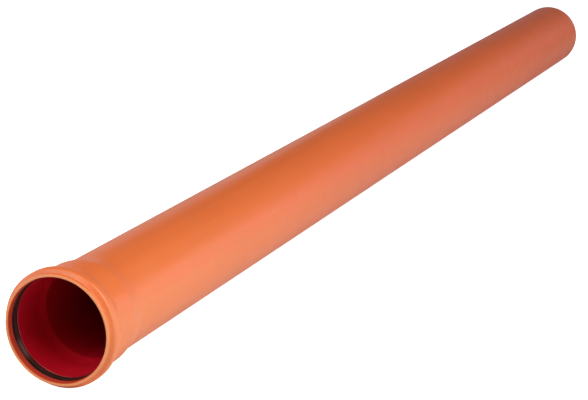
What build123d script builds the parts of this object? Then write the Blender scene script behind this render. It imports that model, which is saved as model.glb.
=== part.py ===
from build123d import *
import os
from math import atan, cos, sin, tan, radians, degrees, pi

# Orange-brown PVC-U sewer pipe, nominal size 110, with a formed ring-seal socket
# at one end, a chamfered spigot at the other, and a rubber sealing ring in the
# socket's bead. Millimetres, +Z up. The pipe lies unheld on a level floor: the
# bead of the socket and the far end of the barrel both touch the floor, so the
# pipe's axis drops slightly from the socket to the spigot. The socket's mouth
# looks along -Y. The origin is on the floor, under the middle of the part.

# ---- pipe barrel ----
length_total = 2000.0          # mouth face to spigot end
barrel_od = 110.0
wall = 3.2
barrel_r = barrel_od / 2.0     # 55.0
bore_r = barrel_r - wall       # 51.8

# ---- spigot end ----
chamfer_len = 6.0              # length of the lead-in chamfer
chamfer_deg = 15.0

# ---- socket: distances x are measured along the axis from the mouth face ----
socket_bore_r = 55.4           # takes a 110.0 spigot
socket_body_r = socket_bore_r + wall   # 58.6
mouth_bore_r = 56.7            # lead-in of the mouth, at its face
mouth_bore_back_r = 56.0       # same lead-in, at the seal groove
lip_r = 59.9                   # outside of the mouth's lip
neck_x = 4.9                   # shallow neck between lip and bead
neck_r = 59.15
bead_front_x = 8.3             # front shoulder of the bead
bead_back_x = 16.4             # back shoulder of the bead
bead_r = 64.1                  # crest of the bead
bead_foot_x = 29.0             # where the bead runs out into the socket's body
taper_out_start_x = 61.0       # outside: body to barrel
taper_out_end_x = 84.0
bore_stop_x = 65.0             # inside: end of the socket's bore
bore_in_x = 73.5               # inside: start of the pipe's own bore

# ---- seal groove inside the bead ----
groove_front_x = 8.4
groove_top_front_x = 9.4
groove_top_back_x = 16.8
groove_back_x = 19.6
groove_r = 60.5

# ---- sealing ring: as it stands when pressed back by a pipe in the socket ----
seal_gap = 0.06                # clear of the groove's walls
seal_lip_r = 55.34             # inner lip, all but flush with the socket's bore
seal_nose_r = 56.1             # front edge, behind the mouth's lead-in

# ---- attitude on the floor ----
# the bead touches the floor where its level crest runs into its back rounding
bead_back_round = 7.0
back_slope = atan((bead_r - socket_body_r) / (bead_foot_x - bead_back_x))
contact_x = bead_back_x - bead_back_round * tan(back_slope / 2.0)
spigot_edge_x = length_total - chamfer_len
drop = (bead_r - barrel_r) / (spigot_edge_x - contact_x)
tilt = atan(drop)              # about a quarter of a degree
axis_dir = Vector(0, cos(tilt), -sin(tilt))

# height of the axis over the floor at the mouth's face
mouth_axis_z = bead_r * cos(tilt) + contact_x * sin(tilt)
# overall reach along Y, to put the origin under the middle: the mouth's face
# leans back at its top and forward at its bottom, and so does the spigot's end
face_corner_r = lip_r - 1.4
y_low = -face_corner_r * sin(tilt)
y_high = length_total * cos(tilt) + (barrel_r - chamfer_len * tan(radians(chamfer_deg))) * sin(tilt)
mouth_centre = Vector(0, -(y_low + y_high) / 2.0, mouth_axis_z)

meridian = Plane(origin=mouth_centre, x_dir=axis_dir, z_dir=(1, 0, 0))
pipe_axis = Axis(mouth_centre, axis_dir)

# ---- pipe: one extruded and belled piece ----
spigot_end_r = barrel_r - chamfer_len * tan(radians(chamfer_deg))

pipe_corners = [
    # (x along the axis, radius), corner radius
    ((0.0, lip_r), 1.5),
    ((neck_x, neck_r), 0.8),
    ((bead_front_x, bead_r), 3.8),
    ((bead_back_x, bead_r), bead_back_round),
    ((bead_foot_x, socket_body_r), 20.0),
    ((taper_out_start_x, socket_body_r), 8.0),
    ((taper_out_end_x, barrel_r), 60.0),
    ((spigot_edge_x, barrel_r), 0.0),
    ((length_total, spigot_end_r), 0.35),
    ((length_total, bore_r), 0.35),
    ((bore_in_x, bore_r), 3.0),
    ((bore_stop_x, socket_bore_r), 30.0),
    ((groove_back_x, socket_bore_r), 0.8),
    ((groove_top_back_x, groove_r), 1.6),
    ((groove_top_front_x, groove_r), 1.6),
    ((groove_front_x, mouth_bore_back_r), 0.5),
    ((0.0, mouth_bore_r), 0.8),
]

with BuildPart() as pipe:
    with BuildSketch(meridian) as pipe_section:
        with BuildLine() as pipe_outline:
            FilletPolyline(
                [c[0] for c in pipe_corners],
                radius=[c[1] for c in pipe_corners],
                close=True,
            )
        make_face()
    revolve(axis=pipe_axis)

# ---- seal_ring: one moulded rubber ring that fills the groove ----
# Its front wall backs onto the groove's front wall, its heel fills the top of
# the groove, and its lip leans back and inward to the socket's bore.
g = seal_gap
seal_corners = [
    ((groove_front_x + 0.10 + g, seal_nose_r), 0.35),
    ((groove_top_front_x + g, groove_r - g), 1.7),
    ((groove_top_back_x - g, groove_r - g), 1.7),
    ((groove_back_x - 0.55 - g, seal_lip_r + 0.9), 0.5),
    ((groove_back_x - 1.0 - g, seal_lip_r), 0.35),
    ((groove_back_x - 3.4, seal_lip_r), 1.0),
    ((groove_front_x + 4.4, seal_nose_r + 0.55), 1.5),
    ((groove_front_x + 1.9, seal_nose_r), 0.7),
]

with BuildPart() as seal_ring:
    with BuildSketch(meridian) as seal_section:
        with BuildLine() as seal_outline:
            FilletPolyline(
                [c[0] for c in seal_corners],
                radius=[c[1] for c in seal_corners],
                close=True,
            )
        make_face()
    revolve(axis=pipe_axis)

# ---- key numbers, for the record of the part ----
def on_axis(x):
    p = mouth_centre + axis_dir * x
    return tuple(round(v / 1000.0, 7) for v in (p.X, p.Y, p.Z))


print("tilt of the axis, degrees:", round(degrees(tilt), 4))
print("axis:", tuple(round(v, 8) for v in (axis_dir.X, axis_dir.Y, axis_dir.Z)))
print("mouth centre, m:", on_axis(0.0))
print("spigot end centre, m:", on_axis(length_total))
for name, body in (("pipe", pipe.part), ("seal_ring", seal_ring.part)):
    bb = body.bounding_box()
    print(name, "volume mm3:", round(body.volume, 1), "valid:", body.is_valid)
    print("   box:", tuple(round(v, 4) for v in bb.min), tuple(round(v, 4) for v in bb.max))
for shape in (pipe.part, seal_ring.part):
    for f in shape.faces().filter_by(GeomType.CYLINDER):
        xs = [(v.center() - mouth_centre).dot(axis_dir) for v in f.vertices()]
        print("   cylinder: from x", round(min(xs), 3), "to x", round(max(xs), 3), "area", round(f.area, 1),
              "r", round(f.area / (2 * pi * max(1e-6, max(xs) - min(xs))), 4))

pipe.part.label = "pipe"
seal_ring.part.label = "seal_ring"
os.makedirs("parts", exist_ok=True)
export_step(pipe.part, "parts/pipe.step")
export_step(seal_ring.part, "parts/seal_ring.step")
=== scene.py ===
import math

import bpy
import numpy as np
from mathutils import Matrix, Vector


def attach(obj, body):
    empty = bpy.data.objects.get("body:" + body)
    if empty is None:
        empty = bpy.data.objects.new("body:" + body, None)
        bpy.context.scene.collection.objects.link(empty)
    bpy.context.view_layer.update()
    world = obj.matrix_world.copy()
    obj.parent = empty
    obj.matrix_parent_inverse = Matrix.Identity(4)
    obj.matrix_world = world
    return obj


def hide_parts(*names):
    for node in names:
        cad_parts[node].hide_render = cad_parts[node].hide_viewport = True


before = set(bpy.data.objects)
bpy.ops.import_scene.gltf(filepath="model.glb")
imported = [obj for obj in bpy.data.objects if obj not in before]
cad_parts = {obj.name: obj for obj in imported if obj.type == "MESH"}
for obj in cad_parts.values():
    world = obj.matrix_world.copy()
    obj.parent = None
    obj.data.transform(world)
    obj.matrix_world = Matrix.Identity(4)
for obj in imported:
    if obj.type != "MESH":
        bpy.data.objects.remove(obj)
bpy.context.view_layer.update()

scene = bpy.context.scene

# ---------------------------------------------------------------- the pipe's axis
# Metres, row frame. x is measured along the axis from the mouth's face, r from the axis.
MOUTH = Vector((0.0, -0.9999777, 0.0641680))
AXIS = Vector((0.0, 0.99998943, -0.00459809)).normalized()
RIGHT = Vector((1.0, 0.0, 0.0))
UP = RIGHT.cross(AXIS).normalized()


# ---------------------------------------------------------------- turned meshes
def rounded(corners, step_deg=5.0):
    """Closed outline with rounded corners: ((x, r), radius) in mm -> list of (x, r) points in mm."""
    n = len(corners)
    out = []
    for i in range(n):
        p = np.array(corners[i][0], float)
        a = np.array(corners[i - 1][0], float)
        b = np.array(corners[(i + 1) % n][0], float)
        radius = corners[i][1]
        u = (a - p) / np.linalg.norm(a - p)
        v = (b - p) / np.linalg.norm(b - p)
        between = math.acos(max(-1.0, min(1.0, float(u @ v))))
        turn = math.pi - between
        if radius <= 0 or turn < 1e-6:
            out.append(tuple(p))
            continue
        cut = radius / math.tan(between / 2)
        s, e = p + u * cut, p + v * cut
        mid = (u + v) / np.linalg.norm(u + v)
        c = p + mid * (radius / math.sin(between / 2))
        steps = max(2, int(math.ceil(math.degrees(turn) / step_deg)))
        a0 = math.atan2(*(s - c)[::-1])
        a1 = math.atan2(*(e - c)[::-1])
        d = (a1 - a0 + math.pi) % (2 * math.pi) - math.pi
        for k in range(steps + 1):
            t = a0 + d * k / steps
            out.append((float(c[0] + radius * math.cos(t)), float(c[1] + radius * math.sin(t))))
    return out


def split_runs(outline, longest):
    """Adds rings on runs longer than longest(x), in mm, so that long faces stay well shaped."""
    out = []
    n = len(outline)
    for i in range(n):
        a, b = outline[i], outline[(i + 1) % n]
        out.append(a)
        length = math.dist(a, b)
        most = longest(max(a[0], b[0]))
        parts = int(math.ceil(length / most - 1e-9))
        for k in range(1, parts):
            t = k / parts
            out.append((a[0] + (b[0] - a[0]) * t, a[1] + (b[1] - a[1]) * t))
    return out


def turned(name, outline, around, wobble=None):
    """A closed ring of quads: the outline, in mm, turned about the pipe's axis."""
    pts = np.array(outline, float)
    n = len(pts)
    theta = np.arange(around) * (2 * math.pi / around)
    x = np.repeat(pts[:, 0][:, None], around, 1)
    r = np.repeat(pts[:, 1][:, None], around, 1)
    th = np.repeat(theta[None, :], n, 0)
    if wobble is not None:
        dx, dr = wobble(x, r, th)
        x, r = x + dx, r + dr
    x, r = x / 1000.0, r / 1000.0
    m, a, e1, e2 = (np.array(v) for v in (MOUTH, AXIS, UP, RIGHT))
    co = (
        m
        + x[..., None] * a
        + (r * np.cos(th))[..., None] * e1
        + (r * np.sin(th))[..., None] * e2
    ).reshape(-1, 3)
    i, j = np.meshgrid(np.arange(n), np.arange(around), indexing="ij")
    i2, j2 = (i + 1) % n, (j + 1) % around
    quads = np.stack([i * around + j, i * around + j2, i2 * around + j2, i2 * around + j], -1).reshape(-1, 4)
    mesh = bpy.data.meshes.new(name)
    mesh.from_pydata(co.tolist(), [], quads.tolist())
    mesh.update()
    # faces look outward
    v = co[quads]
    volume = float(np.einsum("ij,ij->i", v[:, 0], np.cross(v[:, 1], v[:, 2])).sum() + np.einsum("ij,ij->i", v[:, 0], np.cross(v[:, 2], v[:, 3])).sum())
    if volume < 0:
        mesh.flip_normals()
    mesh.polygons.foreach_set("use_smooth", np.ones(len(mesh.polygons), bool))
    # map coordinates: round the pipe, and along its outline
    run = np.concatenate([[0.0], np.cumsum(np.hypot(*np.diff(np.vstack([pts, pts[:1]]), axis=0).T))]) / 1000.0
    uv = mesh.uv_layers.new(name="UVMap")
    loops = np.zeros(len(mesh.loops), np.int32)
    mesh.loops.foreach_get("vertex_index", loops)
    li, lj = loops // around, loops % around
    face = np.repeat(np.arange(len(mesh.polygons)), 4)
    fi, fj = face // around, face % around
    uu = np.where((lj == 0) & (fj == around - 1), around, lj) / around * (2 * math.pi * 0.055)
    vv = run[np.where((li == 0) & (fi == n - 1), n, li)]
    uv.data.foreach_set("uv", np.stack([uu, vv], -1).astype(np.float32).ravel())
    obj = bpy.data.objects.new(name, mesh)
    scene.collection.objects.link(obj)
    return obj


pipe_outline = rounded([
    ((0.0, 59.9), 1.5),
    ((4.9, 59.15), 0.8),
    ((8.3, 64.1), 3.8),
    ((16.4, 64.1), 7.0),
    ((29.0, 58.6), 20.0),
    ((61.0, 58.6), 8.0),
    ((84.0, 55.0), 60.0),
    ((1994.0, 55.0), 1.2),
    ((2000.0, 53.392), 0.35),
    ((2000.0, 51.8), 0.35),
    ((73.5, 51.8), 3.0),
    ((65.0, 55.4), 30.0),
    ((19.6, 55.4), 0.8),
    ((16.8, 60.5), 1.6),
    ((9.4, 60.5), 1.6),
    ((8.4, 56.0), 0.5),
    ((0.0, 56.7), 0.8),
], 4.5)
pipe_outline = split_runs(pipe_outline, lambda x: 3.0 if x < 84 else 40.0)

pipe = turned("pipe_body", pipe_outline, 256)

g = 0.06
seal_outline = rounded([
    ((8.5 + g, 56.1), 0.35),
    ((9.4 + g, 60.5 - g), 1.7),
    ((16.8 - g, 60.5 - g), 1.7),
    ((19.05 - g, 56.24), 0.5),
    ((18.6 - g, 55.34), 0.35),
    ((16.2, 55.34), 1.0),
    ((12.8, 56.65), 1.5),
    ((10.3, 56.1), 0.7),
], 6.0)
seal = turned("sealing_ring", seal_outline, 256)

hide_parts("pipe")
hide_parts("seal_ring")
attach(pipe, "root")
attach(seal, "root")


# ---------------------------------------------------------------- materials
class Graph:
    """Short names for the nodes of one material."""

    def __init__(self, name):
        self.material = bpy.data.materials.new(name)
        self.material.use_nodes = True
        self.tree = self.material.node_tree
        self.tree.nodes.clear()
        self.count = 0
        self.out = self.node("ShaderNodeOutputMaterial")
        self.bsdf = self.node("ShaderNodeBsdfPrincipled")
        self.tree.links.new(self.bsdf.outputs[0], self.out.inputs[0])

    def node(self, kind, **props):
        n = self.tree.nodes.new(kind)
        n.location = (-190 * (self.count % 12), -260 * (self.count // 12))
        self.count += 1
        for k, v in props.items():
            setattr(n, k, v)
        return n

    def put(self, socket, value):
        if isinstance(value, bpy.types.NodeSocket):
            self.tree.links.new(value, socket)
        else:
            socket.default_value = value

    def math(self, op, *values, clamp=False):
        n = self.node("ShaderNodeMath", operation=op, use_clamp=clamp)
        for s, v in zip(n.inputs, values):
            self.put(s, v)
        return n.outputs[0]

    def vec(self, op, *values):
        n = self.node("ShaderNodeVectorMath", operation=op)
        for s, v in zip(n.inputs, values):
            self.put(s, v)
        return n.outputs["Value" if op in ("DOT_PRODUCT", "LENGTH", "DISTANCE") else "Vector"]

    def scaled(self, vector, by):
        n = self.node("ShaderNodeVectorMath", operation="SCALE")
        self.put(n.inputs[0], vector)
        self.put(n.inputs["Scale"], by)
        return n.outputs["Vector"]

    def combine(self, x, y, z):
        n = self.node("ShaderNodeCombineXYZ")
        for s, v in zip(n.inputs, (x, y, z)):
            self.put(s, v)
        return n.outputs[0]

    def noise(self, vector, scale, detail=2.0, rough=0.5, warp=0.0):
        n = self.node("ShaderNodeTexNoise", noise_dimensions="3D")
        self.put(n.inputs["Vector"], vector)
        self.put(n.inputs["Scale"], scale)
        self.put(n.inputs["Detail"], detail)
        self.put(n.inputs["Roughness"], rough)
        self.put(n.inputs["Distortion"], warp)
        return n.outputs["Fac"]

    def line_noise(self, w, detail=2.0, rough=0.5):
        n = self.node("ShaderNodeTexNoise", noise_dimensions="1D")
        self.put(n.inputs["W"], w)
        self.put(n.inputs["Scale"], 1.0)
        self.put(n.inputs["Detail"], detail)
        self.put(n.inputs["Roughness"], rough)
        return n.outputs["Fac"]

    def ramp(self, value, lo, hi, a=0.0, b=1.0, kind="SMOOTHSTEP"):
        n = self.node("ShaderNodeMapRange", interpolation_type=kind, clamp=True)
        self.put(n.inputs["Value"], value)
        for key, v in (("From Min", lo), ("From Max", hi), ("To Min", a), ("To Max", b)):
            self.put(n.inputs[key], v)
        return n.outputs["Result"]

    def blend(self, fac, a, b):
        n = self.node("ShaderNodeMix", data_type="RGBA")
        self.put(n.inputs[0], fac)
        self.put(n.inputs[6], a)
        self.put(n.inputs[7], b)
        return n.outputs[2]

    def bump(self, height, distance, strength=1.0, normal=None):
        n = self.node("ShaderNodeBump")
        self.put(n.inputs["Height"], height)
        self.put(n.inputs["Distance"], distance)
        self.put(n.inputs["Strength"], strength)
        if normal is not None:
            self.put(n.inputs["Normal"], normal)
        return n.outputs[0]

    def axes(self):
        """Position, distance along the axis, sideways, upward and radius, in metres."""
        co = self.node("ShaderNodeTexCoord").outputs["Object"]
        q = self.vec("SUBTRACT", co, tuple(MOUTH))
        along = self.vec("DOT_PRODUCT", q, tuple(AXIS))
        side = self.vec("DOT_PRODUCT", q, tuple(RIGHT))
        up = self.vec("DOT_PRODUCT", q, tuple(UP))
        radius = self.vec("LENGTH", self.combine(side, up, 0.0))
        return q, along, side, up, radius


def on_pipe(angle_deg, along_mm, radius_mm):
    """A point of the pipe relative to the mouth's centre, angle measured from the top towards +X."""
    t = math.radians(angle_deg)
    p = AXIS * along_mm + (UP * math.cos(t) + RIGHT * math.sin(t)) * radius_mm
    return tuple(p / 1000.0)


def pvc_material():
    g = Graph("pvc_orange_brown")
    q, along, side, up, radius = g.axes()

    # where on the pipe a point is
    wall_mid = g.ramp(along, 0.061, 0.084, 0.0571, 0.0534, "LINEAR")
    inside = g.ramp(g.math("SUBTRACT", wall_mid, radius), -0.0003, 0.0003)
    on_socket = g.ramp(along, 0.080, 0.092, 1.0, 0.0)
    mouth_face = g.ramp(along, 0.0003, 0.0012, 1.0, 0.0)
    spigot_cut = g.ramp(along, 1.9937, 1.9941)
    bead_crest = g.math("MULTIPLY", g.ramp(radius, 0.0625, 0.0641), g.ramp(along, 0.0205, 0.0225, 1.0, 0.0))
    underside = g.ramp(up, -0.0535, -0.0500, 1.0, 0.0)
    # where the painted shade of the bore is laid on: inside, past the ring
    bore_shade_mask = g.math("MULTIPLY", inside, g.ramp(along, 0.0100, 0.0170))

    # streaks left by the die, drawn out along the pipe
    coarse = g.noise(g.combine(side, up, g.math("MULTIPLY", along, 0.010)), 190.0, 4.0, 0.55)
    fine = g.noise(g.combine(side, up, g.math("MULTIPLY", along, 0.004)), 950.0, 3.0, 0.6)
    cloud = g.noise(q, 6.5, 3.0, 0.5)
    patch = g.noise(q, 31.0, 4.0, 0.6, 0.4)
    grain = g.noise(q, 1500.0, 2.0, 0.5)

    # rings left by forming the socket, and by turning the ends
    formed = g.line_noise(g.math("MULTIPLY", along, 620.0), 3.0, 0.6)
    lathe = g.line_noise(
        g.math("MULTIPLY", g.math("ADD", along, radius), 3600.0), 2.0, 0.6)

    # rubbed places: fine oblique scratches, gathered where the pipe touches other things
    slant = g.combine(
        g.math("ADD", side, g.math("MULTIPLY", along, 0.35)), up, g.math("MULTIPLY", along, 0.06))
    hair = g.noise(slant, 1250.0, 3.0, 0.65)
    hair = g.ramp(hair, 0.56, 0.70)
    wear = g.math("MAXIMUM", g.math("MULTIPLY", bead_crest, 0.8), g.math("MULTIPLY", underside, 0.55))
    wear = g.math("MAXIMUM", wear, g.ramp(patch, 0.62, 0.74, 0.0, 0.6))
    rubbed = g.math("MULTIPLY", g.math("MULTIPLY", wear, hair), g.ramp(inside, 0.0, 1.0, 1.0, 0.25))

    # single long scratches, straight on the unrolled wall
    round_way = g.math("MULTIPLY", g.math("ARCTAN2", side, up), 0.055)
    lane_a = g.line_noise(g.math("MULTIPLY", g.math("ADD", round_way, g.math("MULTIPLY", along, 0.045)), 210.0), 1.0, 0.5)
    lane_b = g.line_noise(g.math("MULTIPLY", g.math("ADD", round_way, g.math("MULTIPLY", along, -0.021)), 163.0), 1.0, 0.5)
    line_a = g.ramp(g.math("ABSOLUTE", g.math("SUBTRACT", lane_a, 0.44)), 0.004, 0.012, 1.0, 0.0)
    line_b = g.ramp(g.math("ABSOLUTE", g.math("SUBTRACT", lane_b, 0.47)), 0.003, 0.009, 1.0, 0.0)
    reach = g.combine(g.math("MULTIPLY", round_way, 34.0), g.math("MULTIPLY", along, 6.5), 0.0)
    line_a = g.math("MULTIPLY", line_a, g.ramp(g.noise(reach, 1.0, 2.0), 0.60, 0.68))
    line_b = g.math("MULTIPLY", line_b, g.ramp(g.noise(g.vec("ADD", reach, (7.3, 2.1, 5.0)), 1.0, 2.0), 0.61, 0.69))
    scratch = g.math("MULTIPLY", g.math("MAXIMUM", line_a, line_b), g.ramp(inside, 0.0, 1.0, 1.0, 0.0))
    scratch = g.math("MULTIPLY", scratch, g.ramp(g.noise(q, 260.0, 2.0), 0.35, 0.55, 0.25, 1.0))

    # specks of dark resin in the wall, and a few light ones of dust
    cells = g.node("ShaderNodeTexVoronoi", feature="F1", voronoi_dimensions="3D")
    g.put(cells.inputs["Vector"], q)
    g.put(cells.inputs["Scale"], 42.0)
    speck = g.ramp(cells.outputs["Distance"], 0.010, 0.026, 1.0, 0.0)
    dark = g.math("MULTIPLY", speck, g.ramp(g.vec("DOT_PRODUCT", cells.outputs["Color"], (1.0, 0.0, 0.0)), 0.60, 0.62))
    light = g.math("MULTIPLY", speck, g.ramp(g.vec("DOT_PRODUCT", cells.outputs["Color"], (0.0, 1.0, 0.0)), 0.74, 0.76))
    for spot, size in (((83.9, 103.7, 55.0), 1.1), ((27.0, 1297.5, 55.0), 1.5), ((68.0, 26.0, 60.0), 0.8)):
        away = g.vec("DISTANCE", q, on_pipe(*spot))
        dark = g.math("MAXIMUM", dark, g.ramp(away, 0.0003 * size, 0.0011 * size, 0.8, 0.0))
    for spot, size in (((86.6, 555.9, 55.0), 0.9), ((73.7, 931.4, 55.0), 0.9)):
        away = g.vec("DISTANCE", q, on_pipe(*spot))
        light = g.math("MAXIMUM", light, g.ramp(away, 0.0003 * size, 0.0011 * size, 0.8, 0.0))

    # colour
    tone = g.math("ADD", g.ramp(cloud, 0.25, 0.75, 0.975, 1.025, "LINEAR"),
                  g.math("ADD", g.ramp(coarse, 0.2, 0.8, -0.022, 0.022, "LINEAR"),
                         g.ramp(fine, 0.2, 0.8, -0.016, 0.016, "LINEAR")))
    colour = g.blend(g.ramp(patch, 0.3, 0.7, 0.0, 1.0, "LINEAR"),
                     (0.752, PVC[1] * 0.985, PVC[2] * 0.97, 1), (0.728, PVC[1] * 1.015, PVC[2] * 1.03, 1))
    # painted shade: inside the lip, past its first 3 mm, the orange is deepened to red, standing in for shade and light
    # reflected between the walls
    colour = g.blend(g.math("MULTIPLY", inside, g.ramp(along, 0.0005, 0.0030)), colour, (0.64, 0.046, 0.026, 1))
    # painted shade: the bore takes a deep crimson, darker again past the socket's step, standing in for shade deeper
    # inside the pipe and light reflected between its walls
    colour = g.blend(bore_shade_mask, colour, g.scaled(BORE_SHADE_RED[:3], g.ramp(along, 0.066, 0.078, 1.0, 0.84)))
    colour = g.scaled(colour, tone)
    cut = g.math("MAXIMUM", g.math("MULTIPLY", mouth_face, 0.62), g.math("MULTIPLY", spigot_cut, 0.45))
    colour = g.blend(cut, colour, g.scaled((0.80, 0.30, 0.140), g.ramp(lathe, 0.2, 0.8, 0.93, 1.07, "LINEAR")))
    colour = g.blend(g.math("MULTIPLY", rubbed, 0.22), colour, (0.84, 0.42, 0.27, 1))
    colour = g.blend(g.math("MULTIPLY", scratch, 0.30), colour, (0.86, 0.45, 0.30, 1))
    colour = g.blend(g.math("MULTIPLY", dark, 0.65), colour, (0.10, 0.035, 0.020, 1))
    colour = g.blend(g.math("MULTIPLY", light, 0.45), colour, (0.90, 0.72, 0.60, 1))
    g.put(g.bsdf.inputs["Base Color"], colour)

    # gloss
    rough = g.math("ADD", GLOSS, g.ramp(coarse, 0.2, 0.8, -0.02, 0.02, "LINEAR"))
    rough = g.math("ADD", rough, g.ramp(patch, 0.3, 0.7, -0.02, 0.03, "LINEAR"))
    rough = g.math("ADD", rough, g.math("MULTIPLY", rubbed, 0.16))
    rough = g.math("ADD", rough, g.math("MULTIPLY", scratch, 0.12))
    rough = g.math("ADD", rough, g.math("MULTIPLY", cut, 0.42))
    g.put(g.bsdf.inputs["Roughness"], g.math("ADD", rough, 0.0, clamp=True))
    g.bsdf.inputs["IOR"].default_value = 1.53

    # relief
    normal = g.bump(coarse, 0.00005)
    normal = g.bump(fine, 0.000012, 1.0, normal)
    normal = g.bump(grain, 0.000004, 1.0, normal)
    normal = g.bump(g.math("MULTIPLY", formed, on_socket), 0.00003, 1.0, normal)
    normal = g.bump(g.math("MULTIPLY", lathe, g.math("MAXIMUM", g.math("MULTIPLY", mouth_face, 0.4), spigot_cut)), 0.00002, 1.0, normal)
    normal = g.bump(g.math("SUBTRACT", 1.0, g.math("MAXIMUM", scratch, g.math("MULTIPLY", rubbed, 0.5))), 0.00002, 1.0, normal)
    g.put(g.bsdf.inputs["Normal"], normal)
    return g


def rubber_material():
    g = Graph("black_rubber")
    q, along, side, up, radius = g.axes()
    bloom = g.noise(q, 90.0, 4.0, 0.6)
    grain = g.noise(q, 2200.0, 2.0, 0.5)
    flow = g.line_noise(g.math("MULTIPLY", g.math("ADD", along, radius), 1900.0), 3.0, 0.6)
    dust = g.ramp(g.noise(q, 420.0, 4.0, 0.7), 0.60, 0.78)
    # the reddish tint of both rubber tones is painted reflection of the orange pipe walls; the noise varies the tone at
    # random
    colour = g.blend(g.ramp(bloom, 0.3, 0.75, 0.0, 1.0), (0.026, 0.009, 0.008, 1), (0.050, 0.017, 0.015, 1))
    colour = g.blend(g.math("MULTIPLY", dust, 0.10), colour, (0.20, 0.17, 0.15, 1))
    # painted highlight: a lighter patch at the ring's lower left stands in for a soft reflection of a lamp
    ring_highlight = g.ramp(g.vec("DISTANCE", q, on_pipe(-121.5, 14.0, 56.3)), 0.005, 0.0155, 1.0, 0.0)
    ring_highlight = g.math("MULTIPLY", ring_highlight, g.ramp(bloom, 0.25, 0.65, 0.55, 1.0))
    colour = g.blend(g.math("MULTIPLY", ring_highlight, 0.85), colour, (0.175, 0.078, 0.076, 1))
    g.put(g.bsdf.inputs["Base Color"], colour)
    rough = g.math("ADD", g.ramp(bloom, 0.3, 0.75, 0.34, 0.46), g.math("MULTIPLY", dust, 0.12))
    g.put(g.bsdf.inputs["Roughness"], rough)
    g.bsdf.inputs["IOR"].default_value = 1.52
    normal = g.bump(grain, 0.000006)
    normal = g.bump(flow, 0.00002, 1.0, normal)
    g.put(g.bsdf.inputs["Normal"], normal)
    return g


PVC = (0.74, 0.1465, 0.0400)
# painted shade: deep crimson for the bore, standing in for shade and light reflected between the orange walls inside
# the pipe
BORE_SHADE_RED = (0.58, 0.004, 0.021, 1)
GLOSS = 0.38
pvc = pvc_material()
rubber = rubber_material()
pvc_bsdf = pvc.bsdf
pipe.data.materials.append(pvc.material)
seal.data.materials.append(rubber.material)

# ---------------------------------------------------------------- floor, lights, camera
def flat(name, half, height):
    mesh = bpy.data.meshes.new(name)
    mesh.from_pydata([(-half, -half, height), (half, -half, height), (half, half, height), (-half, half, height)], [], [(0, 1, 2, 3)])
    obj = bpy.data.objects.new(name, mesh)
    scene.collection.objects.link(obj)
    return obj


# the floor that is seen: lit from within, like the glowing table of a studio
floor = flat("floor", 30.0, 0.0)
pale = Graph("pale_floor")
pale.bsdf.inputs["Base Color"].default_value = (0.86, 0.86, 0.86, 1)
pale.bsdf.inputs["Roughness"].default_value = 0.9
pale.bsdf.inputs["Specular IOR Level"].default_value = 0.0
pale.bsdf.inputs["Emission Color"].default_value = (1, 1, 1, 1)
pale.bsdf.inputs["Emission Strength"].default_value = 0.94
floor.data.materials.append(pale.material)
for way in ("diffuse", "glossy", "transmission", "volume_scatter", "shadow"):
    setattr(floor, "visible_" + way, False)

# the floor that throws light back at the pipe
bounce = flat("floor_bounce", 30.0, -0.0005)
matt = Graph("matt_floor")
matt.bsdf.inputs["Base Color"].default_value = (0.86, 0.86, 0.86, 1)
matt.bsdf.inputs["Roughness"].default_value = 0.9
matt.bsdf.inputs["Specular IOR Level"].default_value = 0.0
bounce.data.materials.append(matt.material)
bounce.visible_camera = False

world = bpy.data.worlds.new("studio")
scene.world = world
world.use_nodes = True
bg = world.node_tree.nodes["Background"]
bg.inputs[0].default_value = (1, 1, 1, 1)
bg.inputs[1].default_value = 1.0
for way in ("diffuse", "glossy", "transmission", "scatter"):
    setattr(world.cycles_visibility, way, False)


def softbox(name, at, look, size, power, colour=(1, 1, 1)):
    data = bpy.data.lights.new(name, "AREA")
    data.shape = "RECTANGLE"
    data.size, data.size_y = size
    data.energy = power
    data.color = colour
    obj = bpy.data.objects.new(name, data)
    obj.location = at
    obj.rotation_mode = "QUATERNION"
    obj.rotation_quaternion = (Vector(look) - Vector(at)).to_track_quat("-Z", "Y")
    obj.visible_camera = False
    scene.collection.objects.link(obj)
    return obj


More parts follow.
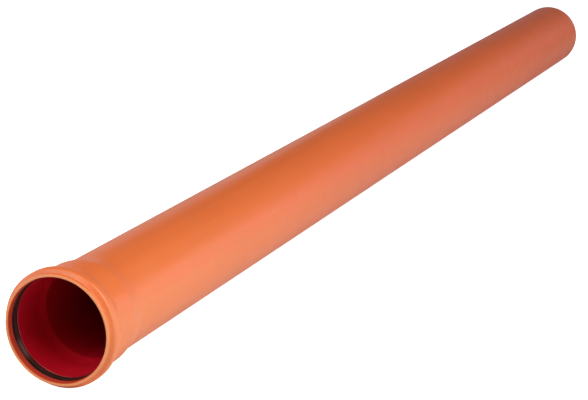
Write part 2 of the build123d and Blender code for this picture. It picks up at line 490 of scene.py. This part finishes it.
softbox("key_right", (2.0, -0.6, 1.9), (0, -0.4, 0.05), (1.4, 1.2), 45.4, (0.962, 0.985, 0.935))
softbox("left_side", (-2.6, -0.3, 1.0), (0, -0.3, 0.05), (3.0, 1.6), 35.6, (0.949, 1.000, 1.000))
softbox("front_top", (0.0, -2.2, 2.0), (0, -1.0, 0.05), (1.0, 1.0), 21.8, (0.985, 0.930, 0.700))
softbox("front_left", (-0.8, -2.0, 0.9), (0, -1.0, 0.06), (0.7, 0.7), 7.4, (0.757, 1.000, 1.000))
softbox("mouth_front", (-0.1, -1.5, 0.45), (0.03, -0.98, 0.03), (0.2, 0.2), 0.45, (1.000, 1.000, 1.000))
softbox("right_mid", (1.3, -0.3, 1.0), (0, -0.2, 0.05), (0.8, 0.8), 4.8, (0.920, 0.900, 0.960))
softbox("back_low", (0.6, 4.6, 0.6), (0, 0, 0.1), (5.0, 1.1), 7.7, (1.000, 0.805, 1.000))
softbox("back_left_low", (-2.6, 3.6, 0.8), (0, 0, 0.1), (2.0, 1.4), 6.9, (0.957, 0.957, 1.000))
softbox("right_far_low", (1.3, 1.0, 0.35), (0, 0.8, 0.05), (0.7, 0.5), 3.3, (1.000, 0.640, 0.850))
softbox("right_near_low", (0.65, -0.9, 0.18), (0, -0.85, 0.06), (0.6, 0.3), 1.2, (0.450, 1.000, 0.900))
softbox("table_right", (0.4, -0.8, 0.002), (0.4, -0.8, 1.0), (0.5, 0.9), 0.35, (0.750, 1.000, 0.850))
softbox("socket_right", (0.42, -1.12, 0.1), (0.06, -0.98, 0.06), (0.2, 0.15), 0.26, (0.590, 1.000, 0.960))
softbox("table_left", (-0.1, 0.0, 0.002), (-0.1, 0.0, 1.0), (0.12, 2.0), 1.1, (1.000, 0.955, 0.909))

cam_data = bpy.data.cameras.new("camera")
cam_data.sensor_width = 36.0
cam_data.lens = 117.754
cam_data.clip_start, cam_data.clip_end = 0.05, 200.0
cam = bpy.data.objects.new("camera", cam_data)
cam.location = (0.91251, -2.63762, 0.68226)
cam.rotation_euler = (math.radians(90 - 14.4959), 0.0, math.radians(21.7192))
scene.collection.objects.link(cam)
scene.camera = cam

scene.view_settings.view_transform = "Standard"
scene.view_settings.look = "None"
